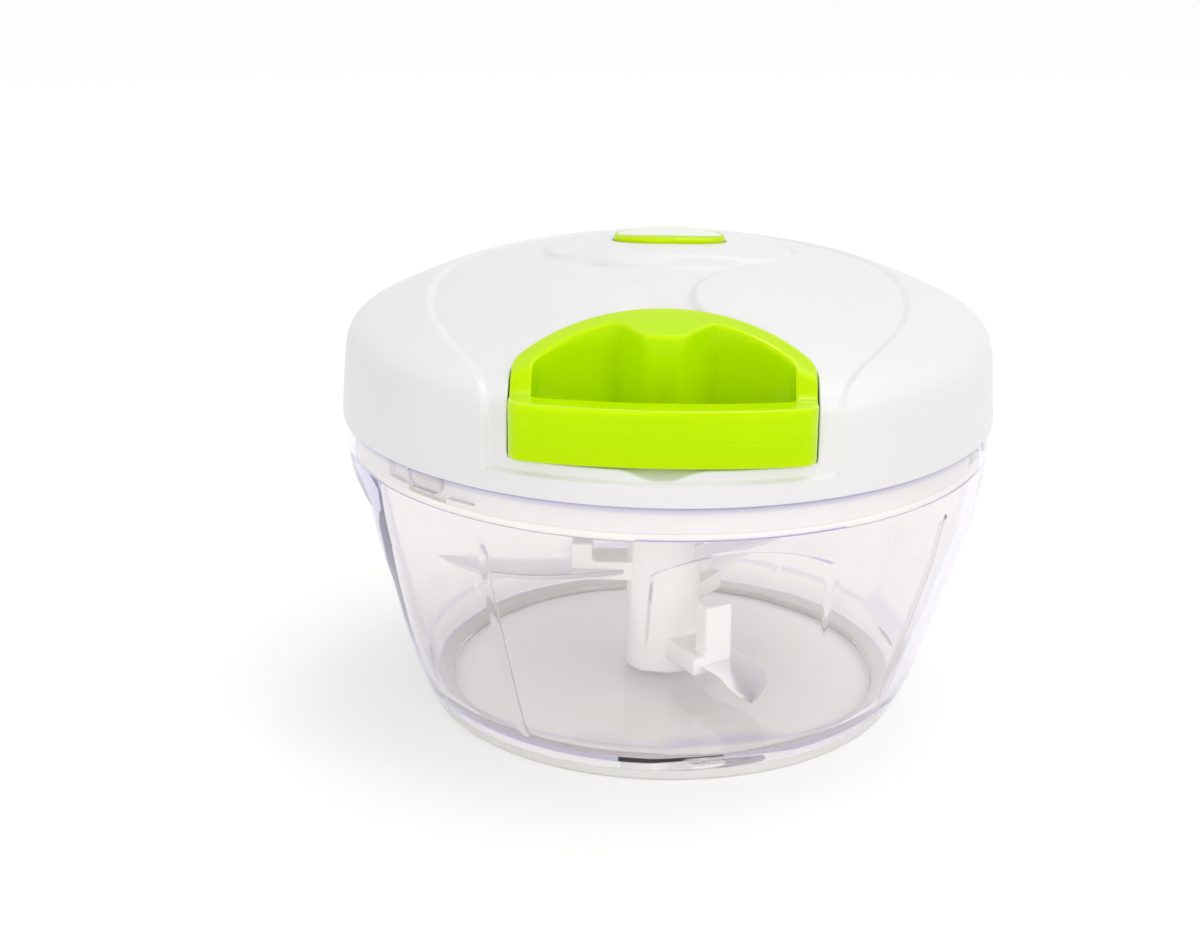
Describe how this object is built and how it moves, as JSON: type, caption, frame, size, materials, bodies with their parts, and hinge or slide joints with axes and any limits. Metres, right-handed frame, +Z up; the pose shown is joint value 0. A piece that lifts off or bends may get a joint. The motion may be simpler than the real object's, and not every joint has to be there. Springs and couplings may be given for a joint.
{
  "type": "manual food processor",
  "caption": "Hand-pulled food chopper: clear tapered bowl, white domed lid, green D-shaped cord handle, oval cap, and a sickle-bladed knife unit on a centre pin.",
  "frame": {"origin": "centre of the foot ring's underside, on the surface that the bowl stands on", "axes": "+Z up along the bowl's axis; the handle faces -Y and pulls out along -Y; +X to the handle's right seen from the front"},
  "size_m": [0.1302, 0.1302, 0.0956],
  "materials": {
    "clear_plastic": "clear polished moulding",
    "white_plastic": "glossy white moulding",
    "hub_plastic": "glossy white moulding",
    "green_plastic": "glossy lime green moulding",
    "silicone": "satin translucent silicone",
    "steel": "bright zinc or stainless",
    "spring_steel": "blued strip",
    "blade_steel": "ground stainless",
    "reel_plastic": "natural acetal",
    "bush_nylon": "oiled nylon",
    "dark_nylon": "moulded nylon",
    "cord": "braided polyester"
  },
  "bodies": {
    "bowl": {"bowl": "clear_plastic", "base_ring": "silicone", "centre_pin": "steel"},
    "seal": {"seal_ring": "silicone"},
    "lid": {"lid": "white_plastic", "lid_cover": "white_plastic", "cover_screws": "steel", "top_cap": "green_plastic", "cap_insert": "white_plastic", "cord_guide": "dark_nylon", "spindle": "steel", "spindle_washer": "steel", "spindle_screw": "steel", "mainspring": "spring_steel", "cord_lead": "cord", "shaft_bush": "bush_nylon", "thrust_washer": "steel"},
    "reel": {"reel": "reel_plastic", "spring_cover": "reel_plastic", "wound_cord": "cord"},
    "handle": {"handle": "green_plastic", "pull_cord": "cord", "cord_knot": "cord"},
    "drive": {"drive_dog": "reel_plastic", "drive_shaft": "white_plastic", "shaft_clip": "steel"},
    "blades": {"blade_hub": "hub_plastic", "lower_blade": "blade_steel", "middle_blade": "blade_steel", "upper_blade": "blade_steel"}
  },
  "joints": [
    {"name": "lid_lift", "type": "slide", "parent": "bowl", "child": "seal", "axis": [0, 0, 1], "range_m": [0, 0.09]},
    {"name": "lid_twist", "type": "hinge", "parent": "seal", "child": "lid", "pos_m": [0, 0, 0.0605], "axis": [0, 0, 1], "range_deg": [-6, 0]},
    {"name": "handle_pull", "type": "slide", "parent": "lid", "child": "handle", "axis": [0, -1, 0], "range_m": [0, 0.28], "stiffness_N_per_m": 10, "springref_m": -0.05, "deforming": ["pull_cord"]},
    {"name": "reel_spin", "type": "hinge", "parent": "lid", "child": "reel", "pos_m": [0, 0, 0.0743], "axis": [0, 0, 1], "range_deg": [0, 1030], "deforming": ["wound_cord", "mainspring"]},
    {"name": "drive_spin", "type": "hinge", "parent": "lid", "child": "drive", "pos_m": [0, 0, 0.06], "axis": [0, 0, 1], "range_deg": [0, 1030]},
    {"name": "blade_spin", "type": "hinge", "parent": "bowl", "child": "blades", "pos_m": [0, 0, 0.02], "axis": [0, 0, 1], "range_deg": [0, 1030]}
  ],
  "couplings": [
    {"joint": "reel_spin", "follows": "handle_pull", "rad_per_m": 64.103},
    {"joint": "drive_spin", "follows": "handle_pull", "rad_per_m": 64.103},
    {"joint": "blade_spin", "follows": "handle_pull", "rad_per_m": 64.103}
  ]
}
